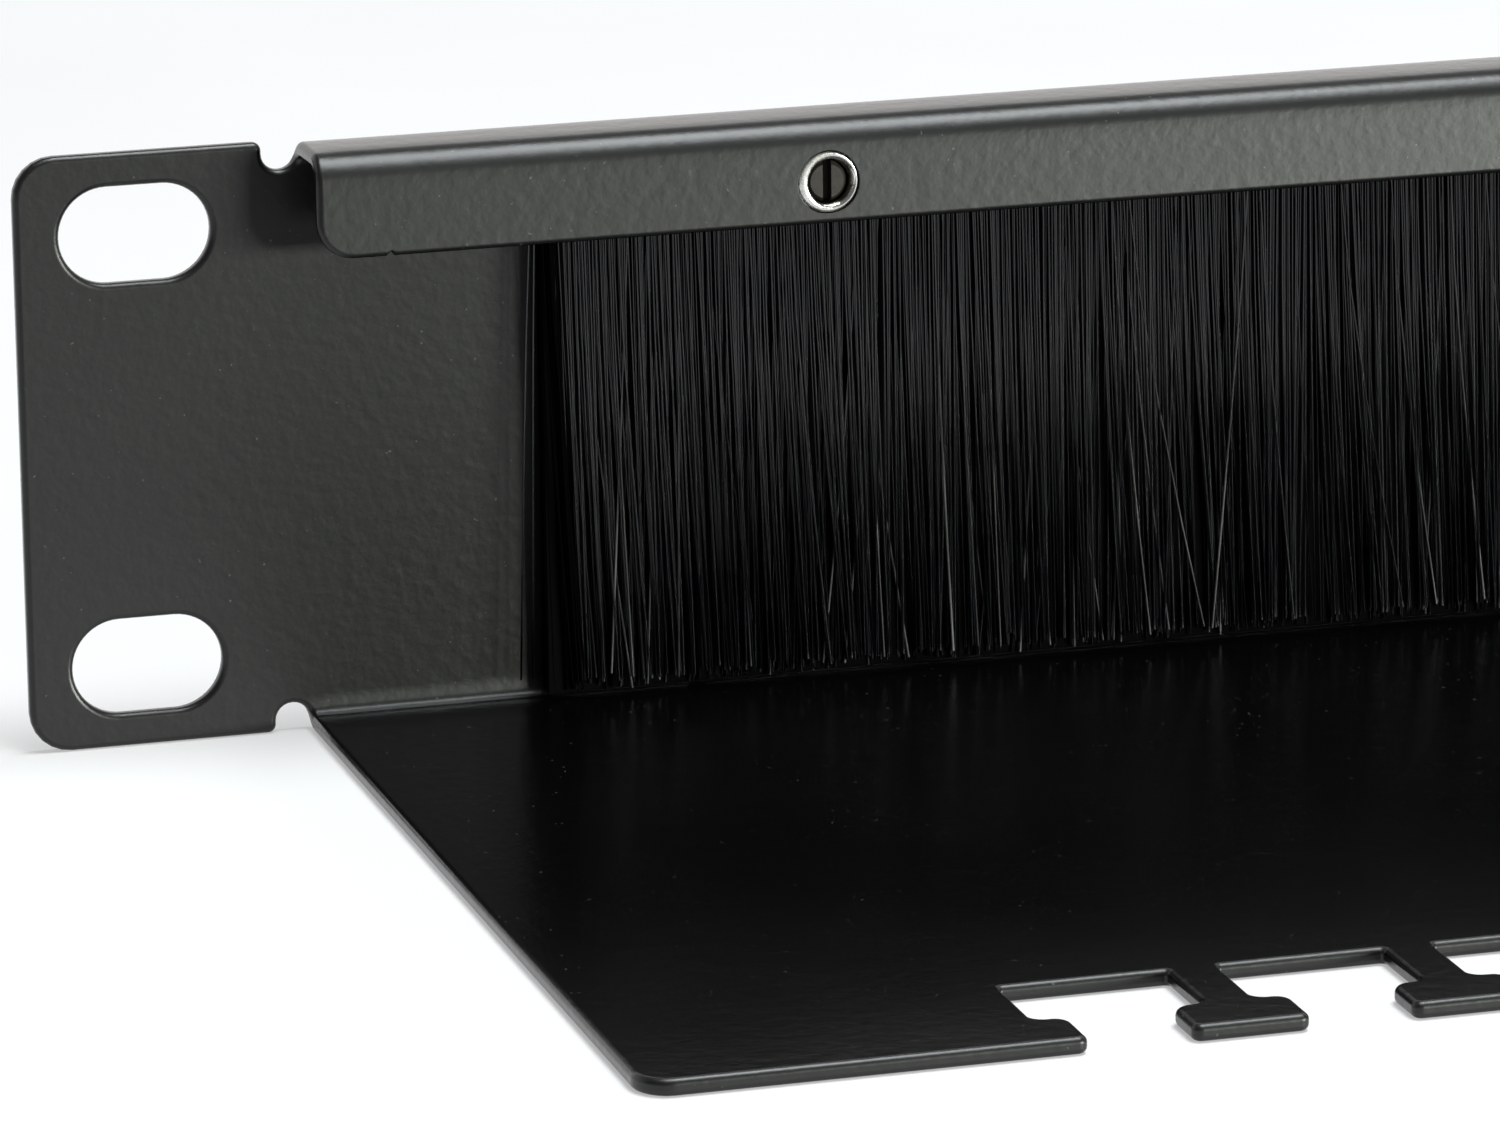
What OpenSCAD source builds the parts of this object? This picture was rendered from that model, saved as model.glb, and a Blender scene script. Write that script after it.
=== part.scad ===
// Rack brush strip panel, one rack unit high.
//
// One folded sheet carries everything: a slotted ear at each end, a window for the
// cables, a top flange with a turned-down lip, and a deep shelf whose free edge is
// cut into T-shaped lugs for cable ties. A strip brush hangs in the trough behind
// the lip. Slotted grub screws in clinch nuts clamp it back against the plate.
//
// Frame: X along the panel, centred. Y = 0 is the mounting face of the ears, and the
// flange and the shelf reach toward -Y. Z is up, with 0 halfway up the panel.

/* [Panel] */
// Overall length across both ears
overall_w = 482.6; // [440:0.1:520]
// Height of one rack unit less its clearance
panel_h = 43.66; // [40:0.01:60]
// Thickness of the steel sheet
sheet_t = 1.2; // [0.8:0.1:1.6]
// Length of the folded part between the two ears
fold_w = 441.4; // [400:0.1:448]
// Inside radius of every bend
bend_r = 0.6; // [0.3:0.1:1]
// Corner radius of the ears
ear_corner_r = 3; // [1:0.5:5]

/* [Mounting slots] */
// Slot spacing along the panel, from centre to centre
slot_spacing_x = 465.1; // [463:0.1:467]
// Slot spacing up the panel, from centre to centre
slot_spacing_z = 31.75; // [29:0.05:34]
// Overall length of a mounting slot
slot_l = 11; // [9:0.1:13]
// Height of a mounting slot
slot_h = 7; // [5:0.1:8]

/* [Bend relief] */
// Width of the notch that parts an ear from a bend
relief_w = 2.5; // [1.5:0.1:3]
// Depth of the notch from the panel's edge
relief_d = 2.1; // [2:0.1:4]

/* [Top flange] */
// Outside depth of the flange, from the mounting face to the face of the lip
flange_d = 6.2; // [5.8:0.1:9]
// Outside height of the lip, from the top of the flange to its free edge
lip_h = 7.5; // [7.2:0.1:10]
// Radius of the lip's free corners
lip_corner_r = 2.6; // [1:0.1:4]

/* [Shelf] */
// Depth of the shelf from the mounting face to its free edge
shelf_d = 88.9; // [60:0.1:140]
// Radius of the shelf's free corners
shelf_corner_r = 2.4; // [1:0.1:4]

/* [Tie lugs] */
// Distance from one tie slot to the next
tie_pitch = 15; // [14:0.1:20]
// Width of a tie slot behind the lug heads
tie_slot_w = 11.5; // [9:0.1:12]
// Depth of a tie slot behind the lug heads
tie_slot_d = 7.1; // [4:0.1:10]
// Width of the mouth between two lug heads
tie_mouth_w = 7.0; // [5:0.1:7.6]
// Depth of a lug head
lug_head_d = 4.7; // [3:0.1:8]
// Least land from the end of the shelf to the middle of the first slot
tie_end_land = 33; // [12:0.5:60]
// Radius where a lug's neck meets its head
lug_neck_r = 0.9; // [0.3:0.1:1]
// Radius of a lug head's inner corners
lug_inner_r = 1.2; // [0.3:0.1:1.2]
// Radius of a lug head's outer corners
lug_outer_r = 0.7; // [0.2:0.1:1.5]

/* [Window] */
// How far the bristles reach past each end of the window
window_lap_x = 5; // [2:0.5:20]
// Height of the plate left standing between the shelf and the window
window_sill = 5.4; // [3:0.1:8]
// Height of the plate left between the window and the brush channel
window_header = 3; // [1:0.1:5]
// Corner radius of the window
window_r = 2; // [0.5:0.5:4]

/* [Strip brush] */
// Length of the brush
brush_w = 410; // [340:0.5:416]
// Outside thickness of the brush channel
channel_t = 3; // [2.6:0.1:3.4]
// Outside height of the brush channel
channel_h = 5; // [4.4:0.1:5.8]
// Thickness of the channel's strip
channel_wall = 0.4; // [0.3:0.05:0.5]
// How far each lower toe of the channel is pinched in
channel_pinch = 0.3; // [0.1:0.05:0.4]
// Diameter of the core wire that the bristles fold around
core_d = 1.2; // [0.8:0.1:1.2]
// Thickness of the bristle curtain below the channel
curtain_t = 2.4; // [1.8:0.1:2.6]
// Gap between the bristle tips and the shelf
tip_gap = 1.0; // [0.5:0.1:6]
// Number of tufts that the curtain parts into
tufts = 121; // [40:1:121]
// Width of the parting between two tufts at the tips
parting_w = 0.4; // [0.2:0.05:0.8]
// Depth of the grooves between the tufts' ridges
ridge_d = 0.35; // [0.1:0.05:0.4]

/* [Clamp screws] */
// Number of grub screws along the lip
screws = 5; // [2:1:8]
// Distance from the end of the brush to the outermost screw
screw_end = 22; // [10:0.5:60]
// Height of the screw axis below the top of the flange
screw_drop = 4.45; // [4.2:0.05:4.6]
// Thread diameter
screw_d = 3; // [2:0.1:3.2]
// Length of a grub screw
screw_l = 2.9; // [2.4:0.1:3.1]
// Width of the screwdriver slot
screw_slot_w = 0.65; // [0.4:0.05:0.9]
// Depth of the screwdriver slot
screw_slot_d = 1.0; // [0.5:0.1:1.2]
// Diameter of the nut's shank, which shows in the lip
nut_shank_d = 4.5; // [4.2:0.1:4.9]
// Diameter of the nut's head behind the lip
nut_head_d = 5.4; // [5:0.1:5.6]
// Thickness of the nut's head behind the lip
nut_head_t = 1.4; // [0.8:0.1:1.6]
// Diameter of the mouth of the nut's thread
nut_mouth_d = 3.7; // [3.2:0.1:4]

/* [Fits] */
// Radial clearance between the screw and the nut
thread_clearance = 0.04; // [0.02:0.01:0.1]
// Clearance around the nut's shank and the folded bristles
seat_clearance = 0.02; // [0.01:0.01:0.05]

/* [Hidden] */
$fn = 48;
eps = 0.01;
top_z = panel_h / 2;
shelf_top_z = -top_z + sheet_t;
bend_out = bend_r + sheet_t;
fold_x = fold_w / 2;

flange_under_z = top_z - sheet_t;
lip_face_y = -flange_d;
lip_back_y = lip_face_y + sheet_t;
lip_edge_z = top_z - lip_h;

tie_slots = floor((fold_w - 2 * tie_end_land) / tie_pitch) + 1;
tie_front_y = -shelf_d;
lug_back_y = tie_front_y + lug_head_d;
tie_back_y = lug_back_y + tie_slot_d;

channel_low_z = flange_under_z - channel_h;
channel_in_t = channel_t - 2 * channel_wall;
channel_bent_z = channel_low_z + channel_wall + channel_pinch;
channel_out_r = bend_r + channel_wall;
brush_y = -channel_t / 2;
fold_r = channel_in_t / 2 - seat_clearance;
core_z = flange_under_z - channel_wall - channel_in_t / 2;
neck_t = channel_in_t - 2 * channel_pinch - 2 * seat_clearance;
curtain_top_z = channel_low_z - seat_clearance;
tip_z = shelf_top_z + tip_gap;
tuft_pitch = brush_w / tufts;

window_w = brush_w - 2 * window_lap_x;
window_low_z = shelf_top_z + window_sill;
window_high_z = channel_low_z - window_header;

screw_z = top_z - screw_drop;
screw_pitch = (brush_w - 2 * screw_end) / (screws - 1);
screw_tip_y = -channel_t;
nut_back_y = lip_back_y + nut_head_t;
screw_chamfer = 0.25;
nut_chamfer = (nut_mouth_d - screw_d) / 2;

// Points of an arc about c with radius r from angle a0 to a1.
function arc(c, r, a0, a1, steps = 6) =
    [for (i = [0:steps]) c + r * [cos(a0 + (a1 - a0) * i / steps), sin(a0 + (a1 - a0) * i / steps)]];

// Closes half an outline with its mirror image about X = 0.
function mirrored(half) = concat(half, [for (i = [len(half) - 1:-1:0]) [-half[i][0], half[i][1]]]);

// Place of a screw along the lip, counted from 1.
function screw_x(i) = -brush_w / 2 + screw_end + (i - 1) * screw_pitch;

// A steady, uneven value between -1 and 1 for each tuft.
function uneven(i, k) = 0.6 * sin(i * 137.5 + k * 61) + 0.4 * sin(i * 71.3 + k * 23);

// Stands an outline drawn in X and Z up, with its thickness running from y0 to y1.
module upright(y0, y1) {
    translate([0, y1, 0]) rotate([90, 0, 0]) linear_extrude(y1 - y0) children();
}

// Runs an outline drawn in Y and Z along the panel, centred, over length w.
module along(w) {
    translate([-w / 2, 0, 0]) rotate([90, 0, 90]) linear_extrude(w) children();
}

// A rectangle w by h about the origin with round corners.
module rounded(w, h, r) {
    square([w - 2 * r, h], center = true);
    square([w, h - 2 * r], center = true);
    for (sx = [-1, 1], sz = [-1, 1]) translate([sx * (w / 2 - r), sz * (h / 2 - r)]) circle(r);
}

// ---------------------------------------------------------------- folded sheet

// A quarter bend about the origin, filling the quadrant of +Y and +Z.
module bend() {
    intersection() {
        difference() {
            circle(bend_out);
            circle(bend_r);
        }
        square(bend_out);
    }
}

// An obround mounting slot, lying along X.
module mounting_slot() {
    square([slot_l - slot_h, slot_h], center = true);
    for (s = [-1, 1]) translate([s * (slot_l - slot_h) / 2, 0]) circle(slot_h / 2);
}

// The round-ended notch between an ear and a bend, on the +X side at the top.
module relief_notch() {
    translate([fold_x, top_z - relief_d + relief_w / 2]) square([relief_w, relief_d]);
    translate([fold_x + relief_w / 2, top_z - relief_d + relief_w / 2]) circle(relief_w / 2);
}

// Front view of the plate and its ears, flat between the two bends.
module plate_outline() {
    difference() {
        rounded(overall_w, panel_h, ear_corner_r);
        for (sz = [-1, 1]) {
            translate([0, sz * top_z]) square([fold_w, 2 * bend_out], center = true);
            for (sx = [-1, 1]) scale([sx, sz]) relief_notch();
        }
        for (sx = [-1, 1], sz = [-1, 1])
            translate([sx * slot_spacing_x / 2, sz * slot_spacing_z / 2]) mounting_slot();
        translate([0, (window_low_z + window_high_z) / 2])
            rounded(window_w, window_high_z - window_low_z, window_r);
    }
}

// End view of the top flange: bend, flange, bend and the lip that turns down.
module flange_profile() {
    translate([-bend_r, top_z - bend_out]) bend();
    translate([lip_back_y + bend_r, flange_under_z])
        square([-lip_back_y - 2 * bend_r, sheet_t]);
    translate([lip_back_y + bend_r, top_z - bend_out]) mirror([1, 0]) bend();
    translate([lip_face_y, lip_edge_z]) square([sheet_t, lip_h - bend_out]);
}

// Plan of one tie slot about its own middle: wide behind the heads, with a narrow
// mouth that runs out past the free edge. The lug's fillets are part of the outline.
function tie_slot_outline() =
    let (
        wide = tie_slot_w / 2,
        mouth = tie_mouth_w / 2,
        half = concat(
            [[wide, tie_back_y]],
            arc([wide - lug_neck_r, lug_back_y + lug_neck_r], lug_neck_r, 0, -90),
            arc([mouth + lug_inner_r, lug_back_y - lug_inner_r], lug_inner_r, 90, 180),
            arc([mouth + lug_outer_r, tie_front_y + lug_outer_r], lug_outer_r, 180, 270),
            [[mouth + lug_outer_r, tie_front_y - 1]]
        )
    )
    mirrored(half);

// Plan of the shelf with its row of tie slots.
module shelf_outline() {
    r = shelf_corner_r;
    difference() {
        union() {
            translate([-fold_x, tie_front_y + r]) square([fold_w, shelf_d - r - bend_r]);
            translate([-fold_x + r, tie_front_y]) square([fold_w - 2 * r, 2 * r]);
            for (s = [-1, 1]) translate([s * (fold_x - r), tie_front_y + r]) circle(r);
        }
        for (i = [0:tie_slots - 1])
            translate([(i - (tie_slots - 1) / 2) * tie_pitch, 0]) polygon(tie_slot_outline());
    }
}

// Front view of the flange's length, which rounds the free corners of the lip.
module lip_outline() {
    r = lip_corner_r;
    translate([-fold_x, lip_edge_z + r]) square([fold_w, lip_h - r]);
    translate([-fold_x + r, lip_edge_z]) square([fold_w - 2 * r, 2 * r]);
    for (s = [-1, 1]) translate([s * (fold_x - r), lip_edge_z + r]) circle(r);
}

// The one folded sheet.
module panel() {
    color([0.13, 0.135, 0.13]) difference() {
        union() {
            upright(0, sheet_t) plate_outline();
            intersection() {
                along(fold_w) flange_profile();
                upright(lip_face_y - 1, sheet_t + 1) lip_outline();
            }
            along(fold_w) translate([-bend_r, -top_z + bend_out]) mirror([0, 1]) bend();
            translate([0, 0, -top_z]) linear_extrude(sheet_t) shelf_outline();
        }
        for (i = [1:screws])
            translate([screw_x(i), lip_back_y + eps, screw_z]) rotate([90, 0, 0])
                cylinder(d = nut_shank_d + 2 * seat_clearance, h = sheet_t + 2 * eps);
    }
}

// ----------------------------------------------------------------- strip brush

// End view of the channel: a strip folded over at the top, with its two lower toes
// pinched in against the bristles.
function channel_outline() =
    let (
        out = channel_t / 2,
        corner = [out - channel_out_r, flange_under_z - channel_out_r],
        half = concat(
            arc(corner, channel_out_r, 90, 0),
            [
                [out, channel_bent_z],
                [out - channel_pinch, channel_low_z + channel_wall],
                [out - channel_pinch, channel_low_z],
                [out - channel_pinch - channel_wall, channel_low_z],
                [out - channel_pinch - channel_wall, channel_low_z + channel_wall],
                [out - channel_wall, channel_bent_z]
            ],
            arc(corner, bend_r, 0, 90)
        )
    )
    mirrored(half);

// The folded channel that grips the bristles.
module brush_channel() {
    color([0.62, 0.63, 0.64]) along(brush_w) translate([brush_y, 0])
        polygon(channel_outline());
}

// The wire that holds the fold of the bristles in the channel.
module core_wire() {
    color([0.7, 0.71, 0.72]) translate([-brush_w / 2, brush_y, core_z]) rotate([0, 90, 0])
        cylinder(d = core_d, h = brush_w);
}

// End view of the bristles inside the channel: folded over the wire, then pinched.
module fold_profile() {
    neck_z = channel_bent_z + seat_clearance;
    root_z = curtain_top_z - curtain_t;
    difference() {
        union() {
            translate([0, core_z]) circle(fold_r);
            translate([-fold_r, neck_z]) square([2 * fold_r, core_z - neck_z]);
            translate([-neck_t / 2, root_z]) square([neck_t, neck_z - root_z + eps]);
        }
        translate([0, core_z]) circle(core_d / 2 + seat_clearance);
    }
}

// Front view of the curtain: each tuft ends a little higher or lower than the next,
// and the parting between two tufts closes at its own height.
function curtain_outline() =
    let (
        length = curtain_top_z - tip_z,
        tip = [for (i = [0:tufts - 1]) tip_z + 0.3 * (1 + uneven(i, 1))],
        apex = [for (i = [0:tufts - 2]) tip_z + length * (0.6 + 0.3 * uneven(i, 2))],
        low = [for (i = [0:tufts - 1])
            let (x0 = -brush_w / 2 + i * tuft_pitch, g = parting_w / 2)
            each concat(
                [[x0 + (i == 0 ? 0 : g), tip[i] + 0.15]],
                [[x0 + tuft_pitch / 2, tip[i]]],
                [[x0 + tuft_pitch - (i == tufts - 1 ? 0 : g), tip[i] + 0.15]],
                i == tufts - 1 ? [] : [[x0 + tuft_pitch, apex[i]]]
            )
        ]
    )
    concat(low, [[brush_w / 2, curtain_top_z], [-brush_w / 2, curtain_top_z]]);

// Plan of the curtain: one ridge for each tuft on both faces.
function ridge_outline() =
    let (
        half = curtain_t / 2,
        face = [for (i = [0:tufts - 1])
            let (x0 = -brush_w / 2 + i * tuft_pitch)
            each [
                [x0, half - ridge_d],
                [x0 + tuft_pitch * 0.25, half - ridge_d * 0.2],
                [x0 + tuft_pitch * 0.5, half],
                [x0 + tuft_pitch * 0.75, half - ridge_d * 0.2]
            ]
        ],
        front = concat(face, [[brush_w / 2, half - ridge_d]])
    )
    concat(front, [for (i = [len(front) - 1:-1:0]) [front[i][0], -front[i][1]]]);

// The bristles, as one body: folded over the wire, and parted into tufts below.
module bristles() {
    color([0.07, 0.07, 0.075]) translate([0, brush_y, 0]) {
        along(brush_w) fold_profile();
        intersection() {
            upright(-curtain_t, curtain_t) polygon(curtain_outline());
            translate([0, 0, tip_z - 1]) linear_extrude(curtain_top_z - tip_z + 1)
                polygon(ridge_outline());
        }
    }
}

// --------------------------------------------------------------- clamp screws

// Places a turned piece on the axis of screw i, with its own +Z toward the viewer of
// the lip and its zero at the lip's outer face.
module on_screw_axis(i) {
    translate([screw_x(i), lip_face_y, screw_z]) rotate([90, 0, 0]) children();
}

// A clinch nut: its shank fills the hole in the lip and its head bears on the back.
module clinch_nut(i) {
    bore = screw_d / 2 + thread_clearance;
    color([0.78, 0.78, 0.76]) on_screw_axis(i) rotate_extrude() polygon([
        [bore, -nut_chamfer],
        [nut_mouth_d / 2, 0],
        [nut_shank_d / 2, 0],
        [nut_shank_d / 2, -sheet_t],
        [nut_head_d / 2, -sheet_t],
        [nut_head_d / 2, -sheet_t - nut_head_t],
        [bore, -sheet_t - nut_head_t]
    ]);
}

// A slotted grub screw, with its tip against the channel.
module grub_screw(i) {
    tip = lip_face_y - screw_tip_y;
    r = screw_d / 2;
    color([0.16, 0.15, 0.15]) on_screw_axis(i) difference() {
        rotate_extrude() polygon([
            [0, tip],
            [r - screw_chamfer, tip],
            [r, tip + screw_chamfer],
            [r, tip + screw_l - screw_chamfer],
            [r - screw_chamfer, tip + screw_l],
            [0, tip + screw_l]
        ]);
        translate([-screw_slot_w / 2, -screw_d, tip + screw_l - screw_slot_d])
            cube([screw_slot_w, 2 * screw_d, 2 * screw_slot_d]);
    }
}

panel();
brush_channel();
core_wire();
bristles();
for (i = [1:screws]) clinch_nut(i);
for (i = [1:screws]) grub_screw(i);
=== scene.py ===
# %% [markdown]
# # Rack brush strip panel
#
# A rack panel, one unit high, that lets cables into a cabinet and keeps dust out. One
# steel sheet is cut flat and folded: a slotted ear at each end, a window, a top flange
# with a lip that turns down, and a deep shelf whose free edge is cut into T-shaped lugs
# for cable ties. A strip brush hangs behind the window, held by five small screws.
#
# The solids already have every true size. This lesson dresses them: it gives the folded
# sheet the soft edges of a powder-coated part, makes the brush out of separate
# filaments, turns the little nuts, and paints each of them with its finish.

import bmesh
import bpy
import numpy as np
from mathutils import Matrix, Vector
from mathutils.geometry import delaunay_2d_cdt


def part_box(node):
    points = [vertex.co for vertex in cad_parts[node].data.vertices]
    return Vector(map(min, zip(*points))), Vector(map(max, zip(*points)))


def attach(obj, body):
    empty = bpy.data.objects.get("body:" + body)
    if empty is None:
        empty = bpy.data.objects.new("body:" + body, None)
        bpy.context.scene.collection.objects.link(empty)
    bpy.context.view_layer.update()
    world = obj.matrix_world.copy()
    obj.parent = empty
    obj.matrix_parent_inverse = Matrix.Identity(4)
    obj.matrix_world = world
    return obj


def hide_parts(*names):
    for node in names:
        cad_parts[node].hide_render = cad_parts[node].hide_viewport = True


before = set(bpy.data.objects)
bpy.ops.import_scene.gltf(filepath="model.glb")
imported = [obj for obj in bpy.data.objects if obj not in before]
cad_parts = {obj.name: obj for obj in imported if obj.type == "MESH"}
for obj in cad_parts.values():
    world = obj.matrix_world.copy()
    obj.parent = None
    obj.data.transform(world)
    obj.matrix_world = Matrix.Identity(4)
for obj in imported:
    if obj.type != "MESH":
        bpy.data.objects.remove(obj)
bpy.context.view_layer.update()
print("solids:", ", ".join(sorted(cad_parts)))

# %% [markdown]
# ## Sizes
# Lengths are written in millimetres, as on a drawing, and multiplied by `mm` where a
# mesh is made. What a solid can tell is read from its box, so that the dressing stays
# on the solid if a size changes.

# %% Sizes read from the solids
mm = 0.001


def extent(node):
    """The lowest and the highest corner of a solid, in millimetres."""
    low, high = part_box(node)
    return np.array(low) / mm, np.array(high) / mm


panel_low, panel_high = extent("panel")
channel_low, channel_high = extent("brush_channel")
curtain_low, curtain_high = extent("bristles")
wire_low, wire_high = extent("core_wire")
screw_nodes = sorted(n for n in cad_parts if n.startswith("grub_screw"))
nut_nodes = sorted(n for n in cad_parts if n.startswith("clinch_nut"))
screw_places = [(extent(n)[0] + extent(n)[1]) / 2 for n in screw_nodes]

half_w = panel_high[0]
half_h = panel_high[2]
sheet_t = panel_high[1]
shelf_d = -panel_low[1]
print(f"panel {2 * half_w:.1f} x {2 * half_h:.2f} mm, sheet {sheet_t:.2f} mm, shelf {shelf_d:.1f} mm")
print("screws at x =", [round(float(p[0]), 2) for p in screw_places])

# %% [markdown]
# ## The camera
# A long lens a little over half a metre away, looking at the back of the panel from the
# left and slightly from above. The camera is placed by its position and three angles:
# the bearing it looks along, how far it looks down, and a small roll. The rotation
# matrix has the camera's right, up and backward directions as its columns.

# %% Camera
camera_place = (-352.77, -572.02, 145.87)
bearing, look_down, roll = np.radians([16.124, 14.858, -0.677])
lens_mm, sensor_mm = 201.675, 36.0

ahead = np.array([np.sin(bearing) * np.cos(look_down), np.cos(bearing) * np.cos(look_down), -np.sin(look_down)])
level = np.array([np.cos(bearing), -np.sin(bearing), 0.0])
upright = np.cross(level, ahead)
right = np.cos(roll) * level + np.sin(roll) * upright
up = np.cross(right, ahead)

camera = bpy.data.objects.new("camera", bpy.data.cameras.new("camera"))
camera.data.lens = lens_mm
camera.data.sensor_width = sensor_mm
camera.data.clip_start, camera.data.clip_end = 0.01, 50.0
turn = Matrix(np.column_stack([right, up, -ahead]).tolist()).to_4x4()
camera.matrix_world = Matrix.Translation(Vector(camera_place) * mm) @ turn
bpy.context.scene.collection.objects.link(camera)
bpy.context.scene.camera = camera
print("camera distance to the middle:", round(float(np.linalg.norm(camera_place)), 1), "mm")

# %% [markdown]
# ## Shader arithmetic
# A material is a small program, and formulas are easier to read than wires. `Wire`
# wraps one output of a node. Its operators add Math nodes, so `1 - mask * 0.3` builds
# three nodes and returns the last output. `Finish` owns a material's tree, and its one
# method `node` makes every other node.

# %% Wires and finishes


def connect(tree, value, socket):
    """Puts a number, a tuple or a wire into a socket."""
    if isinstance(value, Wire):
        tree.links.new(value.output, socket)
    else:
        socket.default_value = value


class Wire:
    """An output socket that takes part in arithmetic. Each operator adds one Math node."""

    def __init__(self, tree, output):
        self.tree, self.output = tree, output

    def math(self, operation, *operands, clamp=False):
        node = self.tree.nodes.new("ShaderNodeMath")
        node.operation, node.use_clamp = operation, clamp
        for value, socket in zip(operands, node.inputs):
            connect(self.tree, value, socket)
        return Wire(self.tree, node.outputs[0])

    def __add__(self, other):
        return self.math("ADD", self, other)

    def __sub__(self, other):
        return self.math("SUBTRACT", self, other)

    def __rsub__(self, other):
        return self.math("SUBTRACT", other, self)

    def __mul__(self, other):
        return self.math("MULTIPLY", self, other)

    def __truediv__(self, other):
        return self.math("DIVIDE", self, other)

    def __pow__(self, other):
        return self.math("POWER", self, other)

    def __gt__(self, other):
        return self.math("GREATER_THAN", self, other)

    __radd__, __rmul__ = __add__, __mul__

    def between(self, low, high):
        """0 below low, 1 above high and straight in between."""
        return self.math("MULTIPLY", self - low, 1 / (high - low), clamp=True)


class Finish:
    """One material and the nodes that make it."""

    def __init__(self, name, tree=None):
        if tree is None:
            self.material = bpy.data.materials.new(name)
            self.material.use_nodes = True
            tree = self.material.node_tree
        self.tree = tree
        self.tree.nodes.clear()

    def node(self, kind, settings=(), sockets=(), output=0):
        """Makes a node, sets its settings first and then its sockets, and returns one output."""
        node = self.tree.nodes.new(kind)
        settings = dict(settings)
        stops = settings.pop("stops", None)
        for name, value in settings.items():
            setattr(node, name, value)
        if stops:
            while len(node.color_ramp.elements) < len(stops):
                node.color_ramp.elements.new(0.5)
            for element, (place, color) in zip(node.color_ramp.elements, stops):
                element.position, element.color = place, (*color, 1)
        for name, value in dict(sockets).items():
            connect(self.tree, value, node.inputs[name])
        return Wire(self.tree, node.outputs[output]) if node.outputs else None

    def place(self, *scale):
        """Object coordinates, in the units of the frame, stretched by scale."""
        where = self.node("ShaderNodeTexCoord", output="Object")
        if not scale:
            return where
        return self.node("ShaderNodeMapping", sockets={"Vector": where, "Scale": scale})

    def noise(self, size_mm, vector=None, detail=2.0, roughness=0.5, seed=0.0):
        """Smooth noise from 0 to 1 whose patches are about size_mm across."""
        return self.node(
            "ShaderNodeTexNoise",
            {"noise_dimensions": "4D"},
            {"Vector": vector or self.place(), "W": seed, "Scale": 1 / (size_mm * mm), "Detail": detail, "Roughness": roughness},
        )

    def blend(self, factor, first, second):
        """A colour that goes from first to second with factor."""
        return self.node(
            "ShaderNodeMix", {"data_type": "RGBA"}, {0: factor, 6: first, 7: second}, output=2
        )

    def surface(self, **sockets):
        """The Principled shader, wired to the material's output."""
        named = {name.replace("_", " "): value for name, value in sockets.items()}
        shader = self.node("ShaderNodeBsdfPrincipled", sockets=named)
        self.node("ShaderNodeOutputMaterial", sockets={"Surface": shader})
        return self.material


def grey(value):
    """A neutral colour."""
    return (value, value, value, 1)


print("shader helpers ready")

# %% [markdown]
# ## Mesh helpers
# Every new surface is worked out as whole numpy arrays and handed to Blender in one go.
# Normals that are known from the formula are stored as well, so that a rounded edge
# made of a few facets shades like the true curve.

# %% Arrays into a mesh


def as_piece(name, vertices, faces, normals=None):
    """Makes an object from an array of points in millimetres and a list of face index arrays."""
    mesh = bpy.data.meshes.new(name)
    mesh.from_pydata((np.asarray(vertices) * mm).tolist(), [], [f for group in faces for f in group.tolist()])
    mesh.validate()
    mesh.polygons.foreach_set("use_smooth", np.ones(len(mesh.polygons), bool))
    if normals is not None:
        mesh.normals_split_custom_set_from_vertices(np.asarray(normals).tolist())
    piece = bpy.data.objects.new(name, mesh)
    bpy.context.scene.collection.objects.link(piece)
    return piece


def grid_faces(rows, columns, closed=True):
    """Quads of a grid of points numbered row by row, with the last column joined to the first if closed."""
    across = columns if closed else columns - 1
    r, c = np.meshgrid(np.arange(rows - 1), np.arange(across), indexing="ij")
    d = (c + 1) % columns
    return np.stack([r * columns + c, r * columns + d, (r + 1) * columns + d, (r + 1) * columns + c], -1).reshape(-1, 4)


def finished(piece, material, body="root", replaces=()):
    """Gives a piece its finish and says what it belongs to."""
    piece.data.materials.clear()
    piece.data.materials.append(material)
    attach(piece, body)
    if replaces:
        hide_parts(*replaces)
    return piece


print("mesh helpers ready")

# %% [markdown]
# ## The blank
# The real part starts as a flat blank, cut by a laser or a punch and only then folded.
# The same order works here: the outline is drawn flat with `x` along the panel and `s`
# along the sheet's middle surface, and a formula folds it afterwards. Drawing flat has
# two gains. All the rounded corners are arcs in a plane, and every cut edge can be
# softened in the same way, whichever side of a bend it ends up on.
#
# `rounded_path` turns a polygon with a radius at each corner into points and outward
# normals. At a corner the path turns from direction u to v by the angle f. The arc
# starts r tan(f/2) before the corner, and each of its points is the centre plus r times
# the direction square to the turned u.

# %% Outline with rounded corners


def rounded_path(corners, radii, steps=7):
    """Points and outward normals of a closed path whose material lies to its left.

    Each corner becomes an arc of its radius, which starts r * tan(turn / 2) before it.
    """
    corners, radii = np.asarray(corners, float), np.broadcast_to(np.asarray(radii, float), len(corners))
    arrive = corners - np.roll(corners, 1, 0)
    arrive /= np.linalg.norm(arrive, axis=1, keepdims=True)
    leave = np.roll(arrive, -1, 0)
    turn = np.arctan2(arrive[:, 0] * leave[:, 1] - arrive[:, 1] * leave[:, 0], (arrive * leave).sum(1))
    start = corners - arrive * (radii * np.tan(np.abs(turn) / 2))[:, None]
    left = np.stack([-arrive[:, 1], arrive[:, 0]], -1)
    side = np.sign(turn)[:, None]
    centre = start + side * radii[:, None] * left
    a = turn[:, None] * np.linspace(0, 1, steps)[None]
    c, s = np.cos(a), np.sin(a)
    turned = np.stack([c * left[:, 0:1] - s * left[:, 1:2], s * left[:, 0:1] + c * left[:, 1:2]], -1)
    points = centre[:, None] - side[:, None] * radii[:, None, None] * turned
    return points.reshape(-1, 2), -turned.reshape(-1, 2)


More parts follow.
